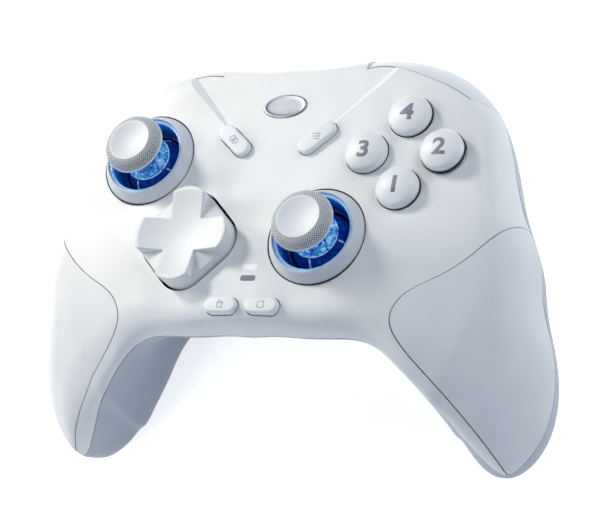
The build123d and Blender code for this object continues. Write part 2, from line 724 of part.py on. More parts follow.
def stick_bowl():
    inner = COLLAR_BORE_RADIUS - BOWL_WALL
    reach = SKIRT_RADIUS + SKIRT_GAP
    hole = math.sqrt(reach**2 - (PIVOT_DEPTH + BOWL_FLOOR) ** 2)
    low = BOWL_FLOOR - BOWL_FLOOR_THICKNESS
    low_hole = math.sqrt(reach**2 - (PIVOT_DEPTH + low) ** 2)
    return turned([
        (COLLAR_BORE_RADIUS, low), (COLLAR_BORE_RADIUS, BOWL_TOP), (inner, BOWL_TOP),
        (inner, BOWL_FLOOR), (hole, BOWL_FLOOR), (low_hole, low),
    ])


def stick_skirt():
    neck = CAP_WAIST_RADIUS - SKIRT_NECK_THICKNESS
    outside = [polar(SKIRT_RADIUS, SKIRT_LOW_ANGLE - step * (SKIRT_LOW_ANGLE - SKIRT_BELL_ANGLE) / 3)
               for step in range(4)]
    outside += [polar(SKIRT_SHOULDER_RADIUS, SKIRT_SHOULDER_ANGLE), polar(SKIRT_NECK_RADIUS, SKIRT_NECK_ANGLE)]
    inside = [(r - SKIRT_THICKNESS * r / (r + abs(z + PIVOT_DEPTH)),
               z - SKIRT_THICKNESS * abs(z + PIVOT_DEPTH) / (r + abs(z + PIVOT_DEPTH)))
              for r, z in outside]
    top_out = (outside[-1][0], CAP_WAIST_HEIGHT)
    top_in = (SHAFT_RADIUS, CAP_WAIST_HEIGHT)
    low_in = (SHAFT_RADIUS, inside[-1][1])
    return turned(outside + [top_out, top_in, low_in] + inside[::-1])


def stick_cap():
    dish = CAP_DISH_DEPTH
    sphere_radius = (CAP_DISH_RADIUS**2 + dish**2) / (2 * dish)
    blank = turned([
        (0, CAP_WAIST_HEIGHT), (CAP_WAIST_RADIUS, CAP_WAIST_HEIGHT), (CAP_BELT_RADIUS, CAP_BELT_BOTTOM),
        (CAP_BELT_RADIUS, CAP_BELT_TOP), (CAP_EDGE_RADIUS, CAP_TOP), (0, CAP_TOP),
    ])
    blank -= Pos(0, 0, CAP_TOP - dish + sphere_radius) * Sphere(sphere_radius)
    return blank - rod(SHAFT_RADIUS, 0, CAP_WAIST_HEIGHT + CAP_SOCKET_DEPTH)


def stick_shaft():
    post = rod(SHAFT_RADIUS, -PIVOT_DEPTH - SHAFT_TAIL, CAP_WAIST_HEIGHT + CAP_SOCKET_DEPTH)
    hub = Pos(0, 0, -PIVOT_DEPTH) * Sphere(HUB_RADIUS)
    radius = CROSS_PIN_RADIUS + PIVOT_CLEARANCE
    slot = long_rod(radius, -BIG, BIG, 0, -PIVOT_DEPTH)
    slot += long_rod(radius, -BIG, BIG, 0, -PIVOT_DEPTH + STICK_PRESS)
    slot += block(-radius, radius, -BIG, BIG, -PIVOT_DEPTH, -PIVOT_DEPTH + STICK_PRESS)
    return post + hub - slot


def stick_pin():
    return long_rod(CROSS_PIN_RADIUS, -YOKE_OUTER_RADIUS + SEAM, YOKE_OUTER_RADIUS - SEAM, 0, -PIVOT_DEPTH)


def stick_yoke():
    low, high = -PIVOT_DEPTH - YOKE_THICKNESS / 2, -PIVOT_DEPTH + YOKE_THICKNESS / 2
    ring = rod(YOKE_OUTER_RADIUS, low, high) - rod(YOKE_INNER_RADIUS, low, high)
    trunnions = cross_rod(TRUNNION_RADIUS, -MODULE_TOWER_RADIUS, MODULE_TOWER_RADIUS, 0, -PIVOT_DEPTH)
    trunnions -= rod(YOKE_INNER_RADIUS, low, high)
    return ring + trunnions - long_rod(CROSS_PIN_RADIUS + PIVOT_CLEARANCE, -BIG, BIG, 0, -PIVOT_DEPTH)


def stick_module():
    half = MODULE_SIZE / 2
    case = block(-half, half, -half, half, MAIN_BOARD_TOP, MODULE_TOP)
    tower = rod(MODULE_TOWER_RADIUS, MODULE_TOP, MODULE_TOWER_TOP)
    pit = rod(MODULE_TOWER_BORE, -PIVOT_DEPTH - MODULE_PIT, OVERRUN)
    radius = TRUNNION_RADIUS + PIVOT_CLEARANCE
    return case + tower - pit - cross_rod(radius, -BIG, BIG, 0, -PIVOT_DEPTH)


# Direction pad pieces
def dpad_cap():
    cap = prism(dpad_face(0), -DPAD_SKIRT, DPAD_TOP)
    dish_z = DPAD_TOP - DPAD_DISH_DEPTH
    cap -= Pos(DPAD_X, DPAD_Y, dish_z + DPAD_DISH_RADIUS) * Sphere(DPAD_DISH_RADIUS)
    arm = DPAD_ARM_HALF_WIDTH
    for turn in range(4):
        corner = block(arm, BIG, arm, BIG, -OVERRUN, OVERRUN)
        above = Box(BIG, BIG, BIG, align=(Align.CENTER, Align.CENTER, Align.MIN))
        facet = Rot(0, 0, 45) * Rot(0, DPAD_FACET_ANGLE, 0) * above
        facet = Pos(arm, arm, dish_z + DPAD_FACET_DROP) * facet
        cap -= Pos(DPAD_X, DPAD_Y) * Rot(0, 0, 90 * turn) * (corner & facet)
    span, thick, half = DPAD_LEG_HALF_SPAN, DPAD_LEG_THICKNESS, DPAD_LEG_WIDTH / 2
    foot = -DPAD_PIVOT_DEPTH - half
    for side in (LEFT, RIGHT):
        y0, y1 = sorted((side * span, side * (span + thick)))
        cap += Pos(DPAD_X, DPAD_Y) * block(-half, half, y0, y1, foot, -DPAD_SKIRT)
    return cap - Pos(DPAD_X, DPAD_Y) * dpad_pin()


def dpad_pin():
    reach = DPAD_LEG_HALF_SPAN + DPAD_LEG_THICKNESS
    return long_rod(DPAD_PIN_RADIUS, -reach, reach, 0, -DPAD_PIVOT_DEPTH)


def dpad_rocker():
    half = DPAD_LEG_HALF_SPAN - SEAM
    reach = half + SEAM + DPAD_EAR_THICKNESS
    body = Pos(0, 0, -DPAD_PIVOT_DEPTH) * Box(2 * half, 2 * half, 2 * (DPAD_PIN_RADIUS + SEAM))
    body += cross_rod(DPAD_PIN_RADIUS, -reach, reach, 0, -DPAD_PIVOT_DEPTH)
    return body - long_rod(DPAD_PIN_RADIUS + PIVOT_CLEARANCE, -BIG, BIG, 0, -DPAD_PIVOT_DEPTH)


def dpad_bracket():
    inner = DPAD_LEG_HALF_SPAN
    outer = inner + DPAD_EAR_THICKNESS
    half = DPAD_EAR_WIDTH / 2
    foot = block(-outer, outer, -half, half, BUTTON_BOARD_TOP, BUTTON_BOARD_TOP + DPAD_EAR_THICKNESS)
    ears = block(inner, outer, -half, half, BUTTON_BOARD_TOP, DPAD_EAR_TOP)
    ears += block(-outer, -inner, -half, half, BUTTON_BOARD_TOP, DPAD_EAR_TOP)
    bore = cross_rod(DPAD_PIN_RADIUS + PIVOT_CLEARANCE, -BIG, BIG, 0, -DPAD_PIVOT_DEPTH)
    return foot + ears - bore


# Buttons
def face_button():
    crown = (BUTTON_RADIUS**2 + BUTTON_CROWN**2) / (2 * BUTTON_CROWN)
    body = rod(BUTTON_RADIUS, BUTTON_BOTTOM, BUTTON_EDGE + BUTTON_CROWN)
    body &= Pos(0, 0, BUTTON_EDGE + BUTTON_CROWN - crown) * Sphere(crown) + rod(
        BUTTON_RADIUS, BUTTON_BOTTOM, BUTTON_EDGE
    )
    return body + rod(BUTTON_RADIUS + BUTTON_FLANGE, BUTTON_BOTTOM, BUTTON_FLANGE_TOP)


def pill_button(place):
    top = place[-1]
    body = prism(pill_face(place, 0), PILL_BOTTOM, top - PILL_CROWN)
    body += Pos(0, 0, top - PILL_CROWN) * extrude(pill_face(place, 0), PILL_CROWN, taper=45)
    return body + prism(pill_foot(place), PILL_BOTTOM, PILL_FLANGE_TOP)


def dome(x, y, tip_z):
    base = BUTTON_BOARD_TOP + MEMBRANE_THICKNESS
    height = tip_z - base
    return Pos(x, y, base) * Cone(DOME_RADIUS, DOME_TIP_RADIUS, height,
                                  align=(Align.CENTER, Align.CENTER, Align.MIN))


def button_membrane():
    side = 2 * (BUTTON_SPACING + PAD_MARGIN) / math.sqrt(2)
    sheet = Pos(BUTTON_GROUP_X, BUTTON_GROUP_Y) * Rot(0, 0, 45) * RectangleRounded(side, side, PAD_MARGIN / 2)
    pad = prism(sheet, BUTTON_BOARD_TOP, BUTTON_BOARD_TOP + MEMBRANE_THICKNESS)
    for x, y in BUTTONS.values():
        pad += dome(x, y, BUTTON_BOTTOM - BUTTON_TRAVEL - DOME_CLEARANCE)
    return pad


def small_pads(names):
    pads = []
    for name in names:
        place = PILLS[name]
        pad = prism(pill_foot(place), BUTTON_BOARD_TOP, BUTTON_BOARD_TOP + MEMBRANE_THICKNESS)
        tip = dome(place[0], place[1], PILL_BOTTOM - PILL_TRAVEL - DOME_CLEARANCE)
        pads.append(pad + (tip & prism(pill_foot(place), BUTTON_BOARD_TOP, 0)))
    return Compound(pads)


# Boards and the pieces that they carry
def button_board():
    x, low, high = BUTTON_BOARD_HALF_X, BUTTON_BOARD_LOW_Y, BUTTON_BOARD_HIGH_Y
    inner, cut = BUTTON_BOARD_CORNER_X, BUTTON_BOARD_CORNER_Y
    outline = [(x, high - cut / 2), (x, low + 2 * cut), (inner + cut, low), (-inner - cut, low),
               (-x, low + 2 * cut), (-x, high - cut / 2), (-x + cut / 2, high), (x - cut / 2, high)]
    board = prism(make_face(Polyline(outline, close=True)),
                  BUTTON_BOARD_TOP - BUTTON_BOARD_THICKNESS, BUTTON_BOARD_TOP)
    for sx, sy in STICKS.values():
        board -= rod(BOARD_HOLE_RADIUS, -BIG, BIG, sx, sy)
    return board


def main_board():
    low = MAIN_BOARD_TOP - MAIN_BOARD_THICKNESS
    board = block(-MAIN_BOARD_HALF_X, MAIN_BOARD_HALF_X, MAIN_BOARD_LOW_Y, MAIN_BOARD_HIGH_Y,
                  low, MAIN_BOARD_TOP)
    board += block(-TONGUE_HALF_X, TONGUE_HALF_X, MAIN_BOARD_HIGH_Y, TONGUE_HIGH_Y, low, MAIN_BOARD_TOP)
    for x, y, z, split in SCREWS:
        board -= rod(BOSS_RADIUS + SEAM, -BIG, 0, x, y)
    return board


def usb_socket():
    case = Pos(0, SOCKET_FRONT_Y, SOCKET_Z) * extrude(usb_face(0), SOCKET_DEPTH)
    hollow = Pos(0, SOCKET_FRONT_Y, SOCKET_Z) * extrude(usb_face(-SOCKET_WALL), SOCKET_DEPTH - SOCKET_WALL)
    tongue = block(-TONGUE_WIDTH / 2, TONGUE_WIDTH / 2, SOCKET_FRONT_Y - SOCKET_DEPTH,
                   SOCKET_FRONT_Y - TONGUE_RECESS, SOCKET_Z - TONGUE_THICKNESS / 2,
                   SOCKET_Z + TONGUE_THICKNESS / 2)
    return case - hollow + tongue


def battery():
    cell = Box(BATTERY_LENGTH, BATTERY_WIDTH, BATTERY_THICKNESS, align=(Align.CENTER, Align.CENTER, Align.MIN))
    rounded = fillet(cell.edges().filter_by(Axis.X), BATTERY_THICKNESS / 4)
    floor = GROUND_DEPTH * math.cos(math.radians(REST_TILT)) - FLOOR_THICKNESS
    return Rot(REST_TILT, 0, 0) * Pos(0, BATTERY_Y, -floor) * rounded


def rumble_motor():
    can = long_rod(MOTOR_RADIUS, MOTOR_Y - MOTOR_LENGTH / 2, MOTOR_Y + MOTOR_LENGTH / 2, MOTOR_X, MOTOR_Z)
    end = MOTOR_Y - MOTOR_LENGTH / 2
    return can + long_rod(MOTOR_SHAFT_RADIUS, end - WEIGHT_GAP - WEIGHT_LENGTH, end, MOTOR_X, MOTOR_Z)


def rumble_weight():
    end = MOTOR_Y - MOTOR_LENGTH / 2 - WEIGHT_GAP
    disc = long_rod(WEIGHT_RADIUS, end - WEIGHT_LENGTH, end, MOTOR_X, MOTOR_Z)
    half = block(MOTOR_X - BIG, MOTOR_X + BIG, end - BIG, end, MOTOR_Z - BIG, MOTOR_Z)
    hub = long_rod(2 * MOTOR_SHAFT_RADIUS, end - WEIGHT_LENGTH, end, MOTOR_X, MOTOR_Z)
    bore = long_rod(MOTOR_SHAFT_RADIUS + PIVOT_CLEARANCE, end - BIG, end + BIG, MOTOR_X, MOTOR_Z)
    return (disc & half) + hub - bore


def shell_screws():
    screws = []
    for x, y, z, split in SCREWS:
        screw = rod(SCREW_RADIUS, z, z + SCREW_LENGTH, x, y)
        screw += rod(SCREW_HEAD_RADIUS, z - SCREW_HEAD_HEIGHT, z, x, y)
        drive = Pos(x, y) * RegularPolygon(SCREW_DRIVE_RADIUS, 6)
        screws.append(screw - prism(drive, z - SCREW_HEAD_HEIGHT, z - SCREW_HEAD_HEIGHT + SCREW_DRIVE_DEPTH))
    return Compound(screws)


def badge():
    plate = Ellipse(BADGE_LENGTH / 2 - SEAM / 3, BADGE_WIDTH / 2 - SEAM / 3)
    return on_panel(prism(plate, -BADGE_SEAT, BADGE_PROUD))


def lens(y):
    return prism(lens_face(y), -LENS_DEPTH, face_z(0, y))


# Writing the pieces
save("front_shell", front_shell())
save("rear_shell", rear_shell())
for side in (LEFT, RIGHT):
    save(side_name(side) + "_grip_cover", mirrored(grip_cover(), side))
    save(side_name(side) + "_bumper", mirrored(bumper(), side))
    save(side_name(side) + "_trigger", mirrored(trigger(), side))
    save(side_name(side) + "_trigger_pin", mirrored(trigger_pin(), side))
    save(side_name(side) + "_trigger_spring", mirrored(trigger_spring(), side))
    save(side_name(side) + "_rumble_motor", mirrored(rumble_motor(), side))
    save(side_name(side) + "_rumble_weight", mirrored(rumble_weight(), side))
for name, (x, y) in STICKS.items():
    save(name + "_stick_collar", Pos(x, y) * stick_collar())
    save(name + "_stick_bowl", Pos(x, y) * stick_bowl())
    save(name + "_stick_skirt", Pos(x, y) * stick_skirt())
    save(name + "_stick_cap", Pos(x, y) * stick_cap())
    save(name + "_stick_shaft", Pos(x, y) * stick_shaft())
    save(name + "_stick_pin", Pos(x, y) * stick_pin())
    save(name + "_stick_yoke", Pos(x, y) * stick_yoke())
    save(name + "_stick_module", Pos(x, y) * stick_module())
save("dpad_cap", dpad_cap())
save("dpad_pin", Pos(DPAD_X, DPAD_Y) * dpad_pin())
save("dpad_rocker", Pos(DPAD_X, DPAD_Y) * dpad_rocker())
save("dpad_bracket", Pos(DPAD_X, DPAD_Y) * dpad_bracket())
for name, (x, y) in BUTTONS.items():
    save(name, Pos(x, y) * face_button())
for name, place in PILLS.items():
    save(name, pill_button(place))
save("button_membrane", button_membrane())
save("menu_membranes", small_pads(["view_button", "menu_button"]))
save("home_membranes", small_pads(["home_button", "function_button"]))
save("button_board", button_board())
save("main_board", main_board())
save("usb_socket", usb_socket())
save("battery", battery())
save("shell_screws", shell_screws())
save("badge_plate", badge())
save("power_lens", lens(LENS_HIGH_Y))
save("mode_lens", lens(LENS_LOW_Y))
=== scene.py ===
import math

import bmesh
import bpy
from mathutils import Matrix, Vector


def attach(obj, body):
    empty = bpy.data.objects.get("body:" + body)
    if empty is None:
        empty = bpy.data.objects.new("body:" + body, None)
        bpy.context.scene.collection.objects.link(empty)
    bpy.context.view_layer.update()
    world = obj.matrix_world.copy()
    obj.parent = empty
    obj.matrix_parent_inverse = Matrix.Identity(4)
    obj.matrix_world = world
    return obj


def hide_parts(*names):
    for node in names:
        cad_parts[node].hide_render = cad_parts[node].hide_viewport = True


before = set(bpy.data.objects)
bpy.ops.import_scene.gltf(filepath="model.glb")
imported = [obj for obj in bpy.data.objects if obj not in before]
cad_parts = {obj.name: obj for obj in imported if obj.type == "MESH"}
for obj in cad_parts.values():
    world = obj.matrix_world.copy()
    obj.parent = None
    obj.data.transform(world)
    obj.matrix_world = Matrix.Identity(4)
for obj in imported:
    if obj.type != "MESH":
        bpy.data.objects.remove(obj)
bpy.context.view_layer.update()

# The face's own frame, in millimetres with the face at z = 0, and where the resting pad carries it.
# The table is GROUND_DEPTH under the face, measured square to the face.
REST_TILT = math.radians(8.0)
GROUND_DEPTH = 44.2
STAND_SHIFT = -0.96
FACE = (
    Matrix.Scale(0.001, 4)
    @ Matrix.Translation((0, STAND_SHIFT, GROUND_DEPTH * math.cos(REST_TILT)))
    @ Matrix.Rotation(-REST_TILT, 4, "X")
)

# Places on the face, in millimetres, and what each face button is numbered
STICKS = {"left": (-38.1, 22.8), "right": (17.2, -1.1)}
GROUP = (37.6, 22.5)
SPACING = 10.44
BUTTONS = {
    "north_button": (GROUP[0], GROUP[1] + SPACING, "4"),
    "east_button": (GROUP[0] + SPACING, GROUP[1], "2"),
    "south_button": (GROUP[0], GROUP[1] - SPACING, "1"),
    "west_button": (GROUP[0] - SPACING, GROUP[1], "3"),
}
# Capsule buttons: place, turn in degrees, length, width and height of the top
PILLS = {
    "view_button": (-12.2, 27.4, -42.0, 11.8, 4.9, 1.5),
    "menu_button": (12.2, 27.4, 42.0, 11.8, 4.9, 1.5),
    "home_button": (-5.9, -20.7, 0.0, 9.4, 4.3, 1.2),
    "function_button": (5.9, -20.7, 0.0, 9.4, 4.3, 1.2),
}
# The sunken panel starts at PANEL_FOOT and falls away towards the back. The badge lies on it.
PANEL_FOOT = 24.5
PANEL_SLOPE = math.radians(4.0)
BADGE_MIDDLE = 38.2
BADGE_LENGTH, BADGE_WIDTH = 12.8, 7.4
# Height of the sticks' pivots, and the radius of the dome that swings about each
PIVOT = -7.0
DOME = 8.9
# A face button's radius, the height of its dome's edge and how far the dome rises above that
BUTTON_RADIUS, BUTTON_EDGE, BUTTON_CROWN = 5.75, 1.6, 1.4
# Knurling of the stick caps: diamonds round the cap and down its shoulder, their depth, and how steeply
# they rise to tips that are cut flat
KNURLS_ROUND, KNURLS_DOWN, KNURL_DEPTH, KNURL_RISE = 66, 4.7, 0.34, 1.35
# Printed numbers: height of the type, how much the strokes are thickened, and how much it is widened
NUMBER_SIZE, NUMBER_BOLD, NUMBER_WIDER = 6.4, 0.17, 1.15
# Printed ink: how far its underside is above a crown or sunk in a flat top, and its thickness
INK_LIFT, INK_SINK, INK_THICKNESS = 0.02, 0.01, 0.03
# Directions of the four ribs on each dome, in degrees
RIBS = {"left": (-113, -23, 67, 157), "right": (-98, -8, 82, 172)}
# Half a rib's width, how far it is sunk in the dome and stands out of it, and how bright its painted glow is
RIB_HALF, RIB_SINK, RIB_RISE, RIB_PAINTED_GLOW = 0.22, 0.1, 0.12, 0.75
# Black rings of painted shade in the round gaps: inner and outer radius, and the height of their tops and
# feet
STICK_GAP_SHADE = (13.41, 13.69)
BUTTON_GAP_SHADE = (5.81, 6.04)
GAP_SHADE_TOP, GAP_SHADE_FOOT = -0.2, -1.1
# Points round the large turned forms
FINE_ROUND = 128


# Material tools
def srgb(text):
    """A hex colour as linear red, green, blue and alpha."""
    channels = [int(text[i:i + 2], 16) / 255 for i in (1, 3, 5)]
    linear = [c / 12.92 if c <= 0.04045 else ((c + 0.055) / 1.055) ** 2.4 for c in channels]
    return (*linear, 1.0)


def add(tree, kind, values=None, links=None, **settings):
    """One node, with its input values, the sockets that feed it and its settings."""
    node = tree.nodes.new(kind)
    for key, value in settings.items():
        setattr(node, key, value)
    for key, value in (values or {}).items():
        node.inputs[key].default_value = value
    for key, socket in (links or {}).items():
        tree.links.new(socket, node.inputs[key])
    return node


def surface(name, **values):
    """A new material, its tree, its shader and object coordinates in metres."""
    material = bpy.data.materials.new(name)
    material.use_nodes = True
    tree = material.node_tree
    shader = tree.nodes["Principled BSDF"]
    for key, value in values.items():
        shader.inputs[key.replace("_", " ")].default_value = value
    where = add(tree, "ShaderNodeTexCoord").outputs["Object"]
    return material, tree, shader, where


def mottle(tree, shader, where, first, second, size_mm):
    """Colour that drifts between two near tones over a real size."""
    noise = add(tree, "ShaderNodeTexNoise", {"Scale": 1000 / size_mm, "Detail": 3.0}, {"Vector": where})
    ramp = add(tree, "ShaderNodeValToRGB", links={"Fac": noise.outputs["Fac"]})
    ramp.color_ramp.elements[0].position = 0.3
    ramp.color_ramp.elements[1].position = 0.7
    ramp.color_ramp.elements[0].color = srgb(first)
    ramp.color_ramp.elements[1].color = srgb(second)
    tree.links.new(ramp.outputs["Color"], shader.inputs["Base Color"])


def sheen_drift(tree, shader, where, low, high, size_mm):
    """Roughness that varies a little, as moulding flow and handling leave it."""
    noise = add(tree, "ShaderNodeTexNoise", {"Scale": 1000 / size_mm, "Detail": 2.0}, {"Vector": where})
    spread = add(tree, "ShaderNodeMapRange", {"To Min": low, "To Max": high},
                 {"Value": noise.outputs["Fac"]})
    tree.links.new(spread.outputs["Result"], shader.inputs["Roughness"])


def grain(tree, shader, where, size_mm, depth_mm, edge_mm=0.0):
    """Fine raised grain from the mould's spark-eroded walls, on edges as soft as the mould left them."""
    noise = add(tree, "ShaderNodeTexNoise",
                {"Scale": 1000 / size_mm, "Detail": 4.0, "Roughness": 0.6}, {"Vector": where})
    bump = add(tree, "ShaderNodeBump", {"Strength": 1.0, "Distance": depth_mm / 1000},
               {"Height": noise.outputs["Fac"]})
    if edge_mm:
        soft = add(tree, "ShaderNodeBevel", {"Radius": edge_mm / 1000}, samples=6)
        tree.links.new(soft.outputs["Normal"], bump.inputs["Normal"])
    tree.links.new(bump.outputs["Normal"], shader.inputs["Normal"])


# Finishes
def moulded_plastic(name, first, second, low, high, grain_mm=0.45, depth_mm=0.012):
    """A plastic moulded in a spark-eroded tool: an even body colour, a dull sheen and a fine grain. Real
    grain is about 0.1 mm and is drawn three to four times as coarse, so that it shows."""
    material, tree, shader, where = surface(name, IOR=1.53)
    mottle(tree, shader, where, first, second, 9.0)
    sheen_drift(tree, shader, where, low, high, 4.0)
    grain(tree, shader, where, grain_mm, depth_mm)
    return material


def polished_plastic(name, first, second, edge_mm=0.0):
    """A plastic from a polished mould: the soft, broad highlight of a key cap, and a faint flow pattern."""
    material, tree, shader, where = surface(name, IOR=1.53, Coat_Weight=0.1, Coat_Roughness=0.35)
    mottle(tree, shader, where, first, second, 5.0)
    sheen_drift(tree, shader, where, 0.4, 0.5, 1.5)
    grain(tree, shader, where, 1.2, 0.004, edge_mm)
    return material


def lit_polycarbonate(name, stops, swing, strength):
    """Blue polycarbonate with painted LED light: glassy, with a painted glow that is paler where the form is
    marked nearer to the LEDs and darker where it is marked farther, and with painted bright streaks as a
    clear moulding throws them."""
    material, tree, shader, where = surface(name, IOR=1.585, Coat_Weight=0.5, Coat_Roughness=0.06)
    painted_light_and_relief = add(tree, "ShaderNodeAttribute", attribute_name="painted_light_and_relief")
    painted_streaks = add(tree, "ShaderNodeTexNoise", {"Scale": 1000 / 2.2, "Detail": 3.0, "Distortion": 1.6},
                  {"Vector": where})
    drift = add(tree, "ShaderNodeMapRange",
                {"From Min": 0.3, "From Max": 0.7, "To Min": -swing, "To Max": swing},
                {"Value": painted_streaks.outputs["Fac"]})
    glow_level = add(tree, "ShaderNodeMath", links={0: painted_light_and_relief.outputs["Fac"], 1: drift.outputs["Result"]},
                operation="ADD")
    ramp = add(tree, "ShaderNodeValToRGB", links={"Fac": glow_level.outputs[0]})
    elements = ramp.color_ramp.elements
    for position, _ in stops[1:-1]:
        elements.new(position)
    for element, (position, colour) in zip(elements, stops):
        element.position = position
        element.color = srgb(colour)
    tree.links.new(ramp.outputs["Color"], shader.inputs["Base Color"])
    # The same colour is emitted: painted glow from the LEDs, on a part that is no lamp
    tree.links.new(ramp.outputs["Color"], shader.inputs["Emission Color"])
    shader.inputs["Emission Strength"].default_value = strength
    sheen_drift(tree, shader, where, 0.08, 0.2, 2.0)
    return material


def knurled_elastomer(name):
    """Moulded thumb-stick elastomer with painted shade: pale on the diamonds' tips, dark in the grooves."""
    material, tree, shader, where = surface(name, IOR=1.5)
    painted_light_and_relief = add(tree, "ShaderNodeAttribute", attribute_name="painted_light_and_relief")
    ramp = add(tree, "ShaderNodeValToRGB", links={"Fac": painted_light_and_relief.outputs["Fac"]})
    ramp.color_ramp.elements[0].position = 0.1
    ramp.color_ramp.elements[1].position = 0.8
    ramp.color_ramp.elements[0].color = srgb("#5E646E")
    ramp.color_ramp.elements[1].color = srgb("#E2E4E8")
    tree.links.new(ramp.outputs["Color"], shader.inputs["Base Color"])
    sheen_drift(tree, shader, where, 0.42, 0.54, 2.0)
    grain(tree, shader, where, 0.3, 0.006)
    return material


def brushed_metal(name, first, second, low, high):
    """Plated or brushed metal: fine lines along the part and a sharp but broken highlight."""
    material, tree, shader, where = surface(name, Metallic=1.0)
    mottle(tree, shader, where, first, second, 4.0)
    mapping = add(tree, "ShaderNodeMapping", {"Scale": (1, 1, 12)}, {"Vector": where})
    lines = add(tree, "ShaderNodeTexNoise", {"Scale": 1000 / 2.5, "Detail": 3.0},
                {"Vector": mapping.outputs["Vector"]})
    spread = add(tree, "ShaderNodeMapRange", {"To Min": low, "To Max": high},
                 {"Value": lines.outputs["Fac"]})
    tree.links.new(spread.outputs["Result"], shader.inputs["Roughness"])
    return material


def solder_mask(name):
    """Epoxy solder mask over copper: green, glossy, with the tracks showing as paler lines."""
    material, tree, shader, where = surface(name, IOR=1.5, Coat_Weight=0.4)
    tracks = add(tree, "ShaderNodeTexBrick", {"Scale": 1000 / 8.0, "Mortar Size": 0.035,
                                              "Color1": srgb("#11442A"), "Color2": srgb("#0E3B24"),
                                              "Mortar": srgb("#2E7A4C")}, {"Vector": where})
    tree.links.new(tracks.outputs["Color"], shader.inputs["Base Color"])
    sheen_drift(tree, shader, where, 0.2, 0.35, 3.0)
    return material


def silicone(name):
    """Moulded silicone: translucent grey, dull and slightly dusty."""
    material, tree, shader, where = surface(name, IOR=1.41, Subsurface_Weight=0.2)
    mottle(tree, shader, where, "#8E9399", "#A2A7AD", 3.0)
    sheen_drift(tree, shader, where, 0.5, 0.65, 2.0)
    return material


def printed_ink(name, first, second):
    """Pad-printed ink: thin, even and a little duller than the plastic under it."""
    material, tree, shader, where = surface(name, IOR=1.5)
    mottle(tree, shader, where, first, second, 0.8)
    sheen_drift(tree, shader, where, 0.45, 0.6, 0.6)
    return material


def floor_paint(name):
    """Matt white card under soft light. What the camera sees of it is lifted to the page's white."""
    material, tree, shader, where = surface(name, Roughness=0.9)
    mottle(tree, shader, where, "#F4F5F6", "#F7F8F9", 400.0)
    path = add(tree, "ShaderNodeLightPath")
    glossy = add(tree, "ShaderNodeMath", links={0: path.outputs["Is Camera Ray"],
                                                1: path.outputs["Is Glossy Ray"]}, operation="MAXIMUM")
    seen = add(tree, "ShaderNodeMath", links={0: glossy.outputs[0], 1: path.outputs["Is Transmission Ray"]},
               operation="MAXIMUM")
    level = add(tree, "ShaderNodeMath", {1: FLOOR_GLOW}, {0: seen.outputs[0]}, operation="MULTIPLY")
    tree.links.new(level.outputs[0], shader.inputs["Emission Strength"])
    shader.inputs["Emission Color"].default_value = srgb("#FFFFFF")
    return material


# Mesh tools, all in the face's frame and in millimetres
def piece(name, bm, material, body, *nodes, slot=None):
    """A mesh built in millimetres on the face becomes a smooth piece that rides on a body."""
    bmesh.ops.recalc_face_normals(bm, faces=bm.faces)
    mesh = bpy.data.meshes.new(name)
    bm.to_mesh(mesh)
    bm.free()
    mesh.transform(FACE)
    mesh.polygons.foreach_set("use_smooth", [True] * len(mesh.polygons))
    obj = bpy.data.objects.new(name, mesh)
    bpy.context.scene.collection.objects.link(obj)
    obj.data.materials.append(material)
    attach(obj, body)
    if nodes:
        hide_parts(*nodes)


def rounded(points, radius, steps=4):
    """The outline with each inner corner turned into a small curve."""
    out = [Vector(points[0])]
    for before, corner, after in zip(points, points[1:], points[2:]):
        a, c, b = Vector(before), Vector(corner), Vector(after)
        reach = min(radius, 0.45 * (a - c).length, 0.45 * (b - c).length)
        start, end = c + (a - c).normalized() * reach, c + (b - c).normalized() * reach
        for k in range(steps + 1):
            t = k / steps
            out.append(start * (1 - t) ** 2 + c * 2 * t * (1 - t) + end * t * t)
    out.append(Vector(points[-1]))
    return out


def lathe(profile, x, y, segments=96, painted_light_and_relief=None):
    """A turned form about an axis square to the face, from (radius, height) points. An optional function
    gives each point its painted light level and how far it is sunk.
    """
    bm = bmesh.new()
    layer = bm.verts.layers.float.new("painted_light_and_relief")
    rings = []
    for row, (r, z) in enumerate(profile):
        if r < 1e-6:
            vert = bm.verts.new((x, y, z))
            vert[layer] = 1.0
            rings.append([vert])
            continue
        ring = []
        for k in range(segments):
            a = 2 * math.pi * k / segments
            height, drop = painted_light_and_relief(a, row) if painted_light_and_relief else (1.0, 0.0)
            vert = bm.verts.new((x + (r - drop) * math.cos(a), y + (r - drop) * math.sin(a), z))
            vert[layer] = height
            ring.append(vert)
        rings.append(ring)
    for low, high in zip(rings, rings[1:]):
        for k in range(segments):
            j = (k + 1) % segments
            if len(low) == 1:
                bm.faces.new((low[0], high[j], high[k]))
            elif len(high) == 1:
                bm.faces.new((low[k], low[j], high[0]))
            else:
                bm.faces.new((low[k], low[j], high[j], high[k]))
    return bm


def stadium(length, width, inset, turn, x, y, z):
    """One level outline of a capsule-shaped button."""
    steps = 14
    radius = width / 2 - inset
    half = (length - width) / 2
    points = []
    for end, start in ((1, -90), (-1, 90)):
        for k in range(steps + 1):
            a = math.radians(start + 180 * k / steps)
            points.append((end * half + radius * math.cos(a), radius * math.sin(a)))
    c, s = math.cos(math.radians(turn)), math.sin(math.radians(turn))
    return [(x + px * c - py * s, y + px * s + py * c, z) for px, py in points]


def stacked(loops):
    """A closed form from level outlines, bottom to top."""
    bm = bmesh.new()
    rows = [[bm.verts.new(p) for p in loop] for loop in loops]
    count = len(rows[0])
    for low, high in zip(rows, rows[1:]):
        for k in range(count):
            j = (k + 1) % count
            bm.faces.new((low[k], low[j], high[j], high[k]))
    bm.faces.new(rows[0][::-1])
    bm.faces.new(rows[-1])
    return bm


def slab(bm, points, low, high):
    """A thin straight-sided tile from plan points, its top and bottom following two heights."""
    under = [bm.verts.new((px, py, low(px, py))) for px, py in points]
    over = [bm.verts.new((px, py, high(px, py))) for px, py in points]
    for k in range(len(points)):
        j = (k + 1) % len(points)
        bm.faces.new((under[k], under[j], over[j], over[k]))
    bm.faces.new(under[::-1])
    bm.faces.new(over)


